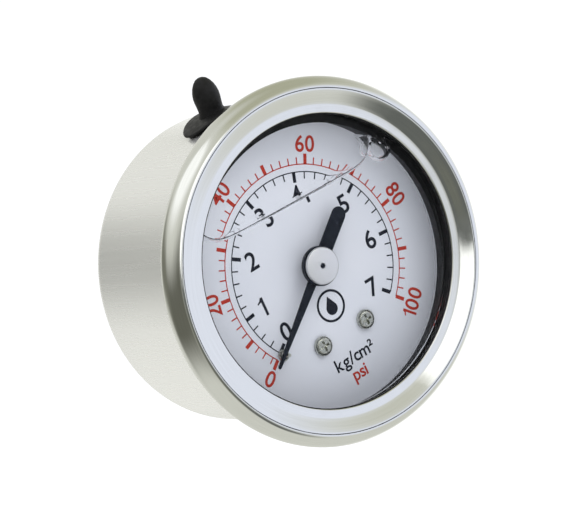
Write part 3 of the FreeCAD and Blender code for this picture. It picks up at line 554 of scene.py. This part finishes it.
def build_socket():
    """The stem with its helical taper thread, the wrench square and the block behind the dial."""
    stem_end = -4.1
    thread_end = 5.9
    pitch = 25.4 / 27
    depth = 0.68
    bore = 1.5
    gauge_radius = 5.14
    root, collar, flange = 4.46, 7.0, 11.4
    flat, corner, chamfered = 5.5, 7.0, 6.6
    flange_front, block_front = 18.4, 24.08

    def crest(forward):
        """The thread tapers 1 in 16 across, towards the end of the stem."""
        return gauge_radius - max(0.0, -forward) / 32

    def thread(forward):
        """Radius of the thread at this station, as a function of the angle."""
        lead_in = min(1.0, (forward - stem_end) / pitch)
        run_out = min(1.0, (thread_end - forward) / 0.5)

        def radius(angle):
            phase = (forward / pitch + angle / TURN) % 1.0
            height = 1 - abs(2 * phase - 1)
            shape = min(1.0, max(0.0, (height - 0.08) / 0.84))
            return crest(forward) - depth * (1 - shape * min(lead_in, run_out))

        return radius

    def square(angle):
        return min(corner, flat / max(abs(math.cos(angle)), abs(math.sin(angle))))

    def square_chamfered(angle):
        return min(chamfered, square(angle))

    stations = int((thread_end - stem_end) / pitch * 12)
    profile = [(bore, stem_end + 1.0), (bore, stem_end + 0.25), (bore + 0.25, stem_end)]
    profile += [(4.2, stem_end)]
    for i in range(1, stations):
        forward = stem_end + (thread_end - stem_end) * i / stations
        profile.append((thread(forward), forward))
    profile += [(root, thread_end), (root, 6.9), (4.7, 7.1), (5.4, 7.1)]
    profile += [(square_chamfered, 7.15), (square, 7.6), (square, 14.55), (square_chamfered, 14.9)]
    profile += [(collar, 14.91), (collar, CASE_BACK + 0.4), (flange, CASE_BACK + 0.52)]
    profile += [(flange, flange_front), (bore, flange_front)]
    mesh_data = bmesh.new()
    revolve(mesh_data, profile, 180)
    block = [(6, 4.4), (-5.8, 4.4), (-5.8, -11.24), (-5.24, -11.24), (-6.59, -14.14), (5.8, -14.4)]
    extrude(mesh_data, block, flange_front + 0.05, block_front)
    finish_mesh("socket_machined", mesh_data, brass, "housing", ["socket"], 40)


# ---------------------------------------------------------------- dial and its print


def build_dial():
    edge = 0.08
    rim = 18.0
    hole = 1.5
    burr = 0.05
    profile = [(hole, DIAL_BACK), (rim - edge, DIAL_BACK), (rim, DIAL_BACK + edge)]
    profile += [(rim, DIAL_FACE - edge), (rim - edge, DIAL_FACE)]
    profile += [(hole + burr, DIAL_FACE), (hole, DIAL_FACE - burr)]
    turned("dial_disc", profile, dial_enamel, replaces=["dial_plate"])


INK_BACK = DIAL_FACE + 0.004
INK_FRONT = DIAL_FACE + 0.018
LONG_TICK, SHORT_TICK = 1.25, 0.85
THICK_TICK, THIN_TICK = 0.45, 0.16


def add_tick(mesh_data, clock, start, length, width):
    half = width / 2
    across = on_dial(half, clock + 90)
    corners = []
    for reach, side in ((start, -1), (start, 1), (start + length, 1), (start + length, -1)):
        x, z = on_dial(reach, clock)
        corners.append((x + side * across[0], z + side * across[1]))
    extrude(mesh_data, corners, INK_BACK, INK_FRONT)


def add_scale_arc(mesh_data, reach, start, end):
    """The thin line that the ticks of a scale stand on."""
    steps = 180
    width = 0.13
    outline = []
    for side, order in ((-1, range(steps + 1)), (1, range(steps, -1, -1))):
        for i in order:
            outline.append(on_dial(reach + side * width / 2, start + (end - start) * i / steps))
    loops = []
    for forward in (INK_BACK, INK_FRONT):
        loops.append([mesh_data.verts.new(point(x, forward, z)) for x, z in outline])
    for i in range(steps):
        j = len(outline) - 1 - i
        for loop in loops:
            mesh_data.faces.new((loop[i], loop[i + 1], loop[j - 1], loop[j]))
    for i in range(len(outline)):
        j = (i + 1) % len(outline)
        mesh_data.faces.new((loops[0][i], loops[0][j], loops[1][j], loops[1][i]))


def psi_angle(value):
    return SCALE_START + SCALE_SWEEP * value / PSI_FULL


def build_scales():
    """Both scales. The first tick after zero is left out, because the zero mark takes its place."""
    red = bmesh.new()
    add_scale_arc(red, RED_ARC, ZERO_ANGLE, psi_angle(PSI_FULL))
    for psi in range(0, PSI_FULL + 1, 2):
        if psi == 2:
            continue
        thick = psi % 10 == 0
        clock = ZERO_ANGLE if psi == 0 else psi_angle(psi)
        length = LONG_TICK if thick else SHORT_TICK
        add_tick(red, clock, RED_ARC, length, THICK_TICK if thick else THIN_TICK)
    finish_mesh("scale_red", red, red_ink, "housing")
    black = bmesh.new()
    add_scale_arc(black, BLACK_ARC, ZERO_ANGLE, psi_angle(KG_FULL * PSI_PER_KG))
    for fifth in range(5 * KG_FULL + 1):
        if fifth == 1:
            continue
        thick = fifth % 5 == 0
        clock = ZERO_ANGLE if fifth == 0 else psi_angle(fifth / 5 * PSI_PER_KG)
        length = LONG_TICK if thick else SHORT_TICK
        add_tick(black, clock, BLACK_ARC - length, length, THICK_TICK if thick else THIN_TICK)
    finish_mesh("scale_black", black, black_ink, "housing")


# A figure of the built-in font is 0.72 of its size tall; the print is a little bolder and narrower.
FIGURE_TALL = 0.72
WEIGHT = 0.015
NARROW = 0.98


def outline_of(text):
    """A flat mesh of the text in the built-in font, one unit to a line."""
    curve = bpy.data.curves.new("lettering", "FONT")
    curve.body = text
    curve.offset = WEIGHT
    curve.resolution_u = 8
    source = bpy.data.objects.new("lettering", curve)
    bpy.context.scene.collection.objects.link(source)
    bpy.context.view_layer.update()
    mesh = bpy.data.meshes.new_from_object(source)
    bpy.data.objects.remove(source)
    bpy.data.curves.remove(curve)
    mesh_data = bmesh.new()
    mesh_data.from_mesh(mesh)
    bpy.data.meshes.remove(mesh)
    bmesh.ops.dissolve_degenerate(mesh_data, edges=mesh_data.edges, dist=1e-5)
    return mesh_data


def outline_of_one():
    """The figure 1 with a flag, which the built-in font lacks."""
    mesh_data = bmesh.new()
    stem = 0.085 + 2 * WEIGHT
    corners = [
        (0.20, 0.0), (0.20 + stem, 0.0), (0.20 + stem, FIGURE_TALL), (0.21, FIGURE_TALL),
        (0.15, 0.62), (0.03, 0.57), (0.03, 0.50), (0.20, 0.56),
    ]
    mesh_data.faces.new([mesh_data.verts.new((x, y, 0)) for x, y in corners])
    return mesh_data


def print_text(name, text, centre, height, turn, material, gap=0.06):
    """Printed figures: height is that of a figure, turn is clockwise in degrees."""
    glyphs = [outline_of_one() if c == "1" else outline_of(c) for c in text]
    spans = [[v.co.x for v in glyph.verts] for glyph in glyphs]
    widths = [max(span) - min(span) for span in spans]
    total = sum(widths) + gap * (len(text) - 1)
    scale = height / FIGURE_TALL
    angle = math.radians(-turn)
    reach = -total / 2
    lettering = bmesh.new()
    for glyph, span, width in zip(glyphs, spans, widths):
        raised = bmesh.ops.extrude_face_region(glyph, geom=glyph.faces[:])["geom"]
        front = {item for item in raised if isinstance(item, bmesh.types.BMVert)}
        for vertex in glyph.verts:
            x = (vertex.co.x - min(span) + reach) * scale * NARROW
            z = (vertex.co.y - FIGURE_TALL / 2) * scale
            across = centre[0] + x * math.cos(angle) - z * math.sin(angle)
            up = centre[1] + x * math.sin(angle) + z * math.cos(angle)
            vertex.co = point(across, INK_FRONT if vertex in front else INK_BACK, up)
        glyph_mesh = bpy.data.meshes.new("glyph")
        glyph.to_mesh(glyph_mesh)
        glyph.free()
        lettering.from_mesh(glyph_mesh)
        bpy.data.meshes.remove(glyph_mesh)
        reach += width + gap
    finish_mesh(name, lettering, material, "housing")


def build_numerals():
    for kg in range(KG_FULL + 1):
        clock = psi_angle(kg * PSI_PER_KG) if kg else ZERO_ANGLE + 2.5
        print_text(f"figure_kg_{kg}", str(kg), on_dial(8.65, clock), 2.3, 0, black_ink)
    for psi in range(0, PSI_FULL + 1, 20):
        clock = psi_angle(psi) if psi else ZERO_ANGLE
        turn = clock - 180 if psi == PSI_FULL else clock
        print_text(f"figure_psi_{psi}", str(psi), on_dial(14.75, clock), 2.0, turn, red_ink)
    print_text("unit_kg", "kg/cm²", (0.0, -12.1), 1.62, 0, black_ink, gap=0.02)
    print_text("unit_psi", "psi", (-0.2, -14.15), 1.62, 0, red_ink, gap=0.03)


def build_emblem():
    """A plain generic mark below the hub: a drop in a ring."""
    mesh_data = bmesh.new()
    centre = (-0.1, -5.3)
    outside = 2.0
    inside = 1.7
    steps = 64
    for i in range(steps):
        corners = []
        for reach, index in ((inside, i), (outside, i), (outside, i + 1), (inside, i + 1)):
            x, z = on_dial(reach, 360 * index / steps)
            corners.append((centre[0] + x, centre[1] + z))
        extrude(mesh_data, corners, INK_BACK, INK_FRONT)
    drop = [(0.0, 1.25)]
    drop += arc((0.0, -0.35), 0.8, 30, -210, 24)
    extrude(mesh_data, [(centre[0] + x, centre[1] + z) for x, z in drop], INK_BACK, INK_FRONT)
    finish_mesh("emblem_drop", mesh_data, black_ink, "housing")


# ---------------------------------------------------------------- pointer


def build_hub():
    bevel = 0.14
    rim = 2.25
    profile = [(HUB_BORE, HUB_BACK), (rim, HUB_BACK), (rim, HUB_FRONT - bevel)]
    profile += arc((rim - bevel, HUB_FRONT - bevel), bevel, 0, 90, 6)
    profile += [(HUB_BORE + 0.06, HUB_FRONT), (HUB_BORE, HUB_FRONT - 0.08)]
    turned(
        "hub_disc", profile, bright_aluminium,
        body="pointer_assembly", replaces=["pointer_hub_cap"], steps=128,
    )
    # A dark spot fills the hole over the end of the pinion shaft, a little under the hub's front face.
    reach = HUB_BORE - 0.01
    spot = [(0, HUB_FRONT - 0.09), (reach, HUB_FRONT - 0.09)]
    spot += [(reach, HUB_FRONT - 0.05), (0, HUB_FRONT - 0.06)]
    turned("hub_hole_dark_spot", spot, pointer_black, body="pointer_assembly", steps=32)


def build_pointer():
    """Blade with rounded edges on a turned boss."""
    direction = on_dial(1.0, ZERO_ANGLE)
    side = on_dial(1.0, ZERO_ANGLE + 90)
    tip, tip_radius = 13.4, 0.2
    tail, tail_radius = 7.75, 0.96
    shoulder, root = 0.8, 0.62
    thick = 0.25
    outline = arc((tip - tip_radius, 0), tip_radius, -88, 88, 10)
    outline += [(shoulder, root), (-shoulder, tail_radius)]
    outline += arc((tail_radius - tail, 0), tail_radius, 90, 270, 18)
    outline += [(-shoulder, -tail_radius), (shoulder, -root)]
    placed = []
    for along, across in outline:
        x = along * direction[0] + across * side[0]
        z = along * direction[1] + across * side[1]
        placed.append((x, z))
    mesh_data = bmesh.new()
    extrude(mesh_data, placed, BLADE_BACK, BLADE_BACK + thick)
    bmesh.ops.bevel(
        mesh_data, geom=mesh_data.edges[:], offset=0.04 * MM,
        segments=2, affect="EDGES", clamp_overlap=True,
    )
    boss_radius, boss_round = 2.4, 0.12
    boss_front = HUB_BACK - 0.02
    boss = [(HUB_BORE, BLADE_BACK)]
    boss += arc((boss_radius - boss_round, BLADE_BACK + boss_round), boss_round, -90, 0, 4)
    boss += arc((boss_radius - boss_round, boss_front - boss_round), boss_round, 0, 90, 4)
    boss += [(HUB_BORE, boss_front)]
    revolve(mesh_data, boss, 96)
    finish_mesh(
        "pointer_blade", mesh_data, pointer_black, "pointer_assembly", ["pointer"]
    )


# ---------------------------------------------------------------- fill liquid


def build_liquid():
    """The fill liquid: level on top, climbing at the window, the dial and the rings."""
    level = 8.25
    tilt = -0.037
    ends = ((-13.4, 2.4), (12.9, 3.0))
    corner_reach = 1.1
    climb_height, climb_reach = 0.45, 0.35
    columns = 120
    rows = 12
    wall_steps = 200
    back, front = DIAL_FACE - 0.1, WINDOW_INSIDE - 0.03
    # The liquid reaches a hair into the rings, so that no gap shows between them.
    depth = 0.02
    step = WINDOW_INSIDE - 0.45

    def surface(x):
        """Height of the liquid, which curls up at both ends."""
        left = ends[0][1] * math.exp(-(x - ends[0][0]) / corner_reach)
        right = ends[1][1] * math.exp(-(ends[1][0] - x) / corner_reach)
        return level + tilt * x + left + right

    def bowl(forward, angle):
        """A place on the wall: the spacer ring's cone, then the gasket's bore round the case."""
        if forward > step:
            reach = GASKET_BORE - depth
            return reach * math.cos(angle), reach * math.sin(angle) + CASE_RISE
        rise = (forward - back) / (step - back)
        reach = SPACER_FOOT + (SPACER_BORE - SPACER_FOOT) * rise + depth
        return reach * math.cos(angle), reach * math.sin(angle)

    crown = []
    for i in range(columns + 1):
        x = ends[0][0] + (ends[1][0] - ends[0][0]) * i / columns
        crown.append((x, surface(x)))
    start = math.atan2(crown[-1][1], crown[-1][0])
    end = math.atan2(crown[0][1], crown[0][0]) - TURN
    stations = [step - 0.01, step + 0.01]
    for j in range(rows + 1):
        stations.append(back + (front - back) * (0.5 - 0.5 * math.cos(math.pi * j / rows)))
    mesh_data = bmesh.new()
    rings = []
    for forward in sorted(stations):
        gap = min(forward - back, front - forward)
        climb = climb_height * math.exp(-gap / climb_reach)
        ring = [mesh_data.verts.new(point(x, forward, z + climb)) for x, z in crown]
        for i in range(1, wall_steps):
            x, z = bowl(forward, start + (end - start) * (i / wall_steps))
            ring.append(mesh_data.verts.new(point(x, forward, z)))
        rings.append(ring)
    add_ring_faces(mesh_data, rings, False)
    mesh_data.faces.new(rings[0])
    mesh_data.faces.new(rings[-1])
    finish_mesh("fill_liquid", mesh_data, liquid_clear, "housing", sharp=40)


def build_bubbles():
    """Air bubbles caught where the liquid meets the ring."""
    # Each is (across, forward, up, radius).
    bubbles = [
        (14.0, 35.5, 8.6, 1.6), (14.6, 36.5, 9.6, 0.5), (13.9, 36.7, 10.3, 0.3),
        (14.9, 36.8, 8.4, 0.28), (13.2, 36.8, 10.6, 0.22),
    ]
    mesh_data = bmesh.new()
    for across, forward, up, radius in bubbles:
        bmesh.ops.create_uvsphere(
            mesh_data, u_segments=40, v_segments=24, radius=radius * MM,
            matrix=Matrix.Translation(point(across, forward, up)),
        )
    finish_mesh("air_bubbles", mesh_data, air_clear, "housing", sharp=180)


build_case()
build_bezel()
build_window()
build_rings()
build_plug()
build_socket()
build_dial()
build_scales()
build_numerals()
build_emblem()
build_hub()
build_pointer()
build_liquid()
build_bubbles()

# ---------------------------------------------------------------- floor, light and camera


def build_floor():
    mesh_data = bmesh.new()
    half = 4000
    drop = 90
    bmesh.ops.create_grid(
        mesh_data, x_segments=8, y_segments=8, size=half * MM,
        matrix=Matrix.Translation(point(0, 0, -drop)),
    )
    mesh = bpy.data.meshes.new("floor_sheet")
    mesh_data.to_mesh(mesh)
    mesh_data.free()
    mesh.materials.append(floor_look())
    floor = bpy.data.objects.new("floor_sheet", mesh)
    bpy.context.scene.collection.objects.link(floor)
    floor.visible_glossy = False
    floor.visible_transmission = False


# The studio that the steel mirrors: pale paper walls with soft-edged panels hung on them, a later
# one before an earlier one. A panel is its colour, then the middle bearing and half width, the
# middle height and half height and the softness of its edge in degrees, where bearing 0 is in
# front of the dial and 90 is to the reader's right.
PAPER = (1.0, 1.0, 0.93)
PANELS = {
    "ceiling": ((1.7, 1.7, 1.7), -75, 70, 68, 20, 12),
    "green_wall": ((0.68, 0.68, 0.52), 85, 68, 45, 22, 16),
    "curtain": ((0.20, 0.20, 0.165), -78, 62, 2, 22, 14),
    "curtain_end": ((0.28, 0.28, 0.23), -145, 24, 15, 15, 12),
    "window": ((1.25, 1.30, 1.50), 57, 40, -14, 22, 10),
    "softbox": ((1.7, 1.7, 1.7), 127, 24, -20, 30, 9),
    "camera_stand": ((0.20, 0.21, 0.20), -2, 14, -22, 30, 8),
    "green_card": ((0.32, 0.32, 0.24), -12, 4, -20, 14, 4),
}
# Each spot is a (bearing, height, radius in degrees, colour) before the panels: a lamp to the
# camera's right, and a dark card where the window would mirror the studio into the camera.
SPOTS = [
    (5.0, 12.5, 15.5, (2.0, 2.0, 2.0)),
    (29.2, -13.2, 5.5, (0.03, 0.035, 0.04)),
]


def build_world():
    """A pale studio: soft even light, with darker and lighter walls for the steel to mirror."""
    world = bpy.data.worlds.new("studio")
    bpy.context.scene.world = world
    world.use_nodes = True
    tree = world.node_tree
    nodes, links = tree.nodes, tree.links

    def ranged(source, low, high):
        """0 at low, 1 at high and a smooth step between."""
        node = nodes.new("ShaderNodeMapRange")
        node.interpolation_type = "SMOOTHSTEP"
        node.inputs["From Min"].default_value = low
        node.inputs["From Max"].default_value = high
        links.new(source, node.inputs["Value"])
        return node.outputs[0]

    def mixed(share, first, second):
        """Blend of two colours; each is a socket or a plain colour."""
        node = nodes.new("ShaderNodeMix")
        node.data_type = "RGBA"
        links.new(share, node.inputs["Factor"])
        for socket, value in (("A", first), ("B", second)):
            if isinstance(value, tuple):
                node.inputs[socket].default_value = (*value, 1.0)
            else:
                links.new(value, node.inputs[socket])
        return node.outputs["Result"]

    def computed(operation, *values):
        """Result of a Math node; each value is a socket or a plain number."""
        node = nodes.new("ShaderNodeMath")
        node.operation = operation
        for socket, value in zip(node.inputs, values):
            if isinstance(value, float):
                socket.default_value = value
            else:
                links.new(value, socket)
        return node.outputs[0]

    def within(angle, middle, half, soft):
        """1 inside half a width of the middle and 0 past the soft edge, the short way round."""
        gap = computed("WRAP", computed("SUBTRACT", angle, math.radians(middle)), math.pi, -math.pi)
        outside, inside = math.radians(half + soft), math.radians(half - soft)
        return ranged(computed("ABSOLUTE", gap), outside, inside)

    direction = nodes.new("ShaderNodeTexCoord").outputs["Generated"]
    split = nodes.new("ShaderNodeSeparateXYZ")
    links.new(direction, split.inputs[0])
    backward = computed("MULTIPLY", split.outputs[1], -1.0)
    bearing_seen = computed("ARCTAN2", split.outputs[0], backward)
    height_seen = computed("ARCSINE", split.outputs[2])
    walls = PAPER
    for colour, bearing, half_width, height, half_height, soft in PANELS.values():
        across = within(bearing_seen, bearing, half_width, soft)
        upward = within(height_seen, height, half_height, soft)
        walls = mixed(computed("MULTIPLY", across, upward), walls, colour)
    for bearing, height, radius, colour in SPOTS:
        aside, raised = math.radians(bearing), math.radians(height)
        towards = nodes.new("ShaderNodeVectorMath")
        towards.operation = "DOT_PRODUCT"
        towards.inputs[1].default_value = (
            math.sin(aside) * math.cos(raised), -math.cos(aside) * math.cos(raised), math.sin(raised),
        )
        links.new(direction, towards.inputs[0])
        outside, inside = math.cos(math.radians(radius + 1)), math.cos(math.radians(radius - 1))
        walls = mixed(ranged(towards.outputs["Value"], outside, inside), walls, colour)
    # Only mirror-like rays see the walls; everything else gets even white light.
    path = nodes.new("ShaderNodeLightPath")
    even = mixed(path.outputs["Is Camera Ray"], (0.95, 0.96, 1.0), (1.4, 1.4, 1.4))
    seen = mixed(path.outputs["Is Glossy Ray"], even, walls)
    background = nodes["Background"]
    links.new(seen, background.inputs["Color"])
    background.inputs["Strength"].default_value = 0.8


def add_softbox(name, place, target, width, height, power):
    light = bpy.data.lights.new(name, "AREA")
    light.shape = "RECTANGLE"
    light.size = width * MM
    light.size_y = height * MM
    light.energy = power
    softbox = bpy.data.objects.new(name, light)
    bpy.context.scene.collection.objects.link(softbox)
    softbox.location = place
    # The steel mirrors the lamp of the studio instead.
    softbox.visible_glossy = False
    softbox.rotation_euler = (target - place).to_track_quat("-Z", "Y").to_euler()


def build_camera():
    """A long lens on the dial from its lower left, rolled so that the gauge leans as photographed."""
    aim = point(-3.522, 37.0, 2.030 + CASE_RISE)
    bearing, height, roll = math.radians(-29.177), math.radians(13.225), math.radians(24.509)
    distance = 339.94
    outward = Vector((
        math.sin(bearing) * math.cos(height),
        -math.cos(bearing) * math.cos(height),
        math.sin(height),
    ))
    camera_data = bpy.data.cameras.new("camera")
    camera_data.lens = 178.995
    camera_data.sensor_width = 36
    camera_data.clip_end = 50
    camera = bpy.data.objects.new("camera", camera_data)
    bpy.context.scene.collection.objects.link(camera)
    look = (-outward).to_track_quat("-Z", "Y").to_matrix().to_4x4()
    spin = Matrix.Rotation(-roll, 4, outward)
    camera.matrix_world = Matrix.Translation(aim + outward * distance * MM) @ spin @ look
    bpy.context.scene.camera = camera


build_floor()
build_world()
add_softbox("key", point(220, 420, 260), point(0, 30, 0), 300, 300, 0.6)
build_camera()
bpy.context.scene.view_settings.view_transform = "Standard"
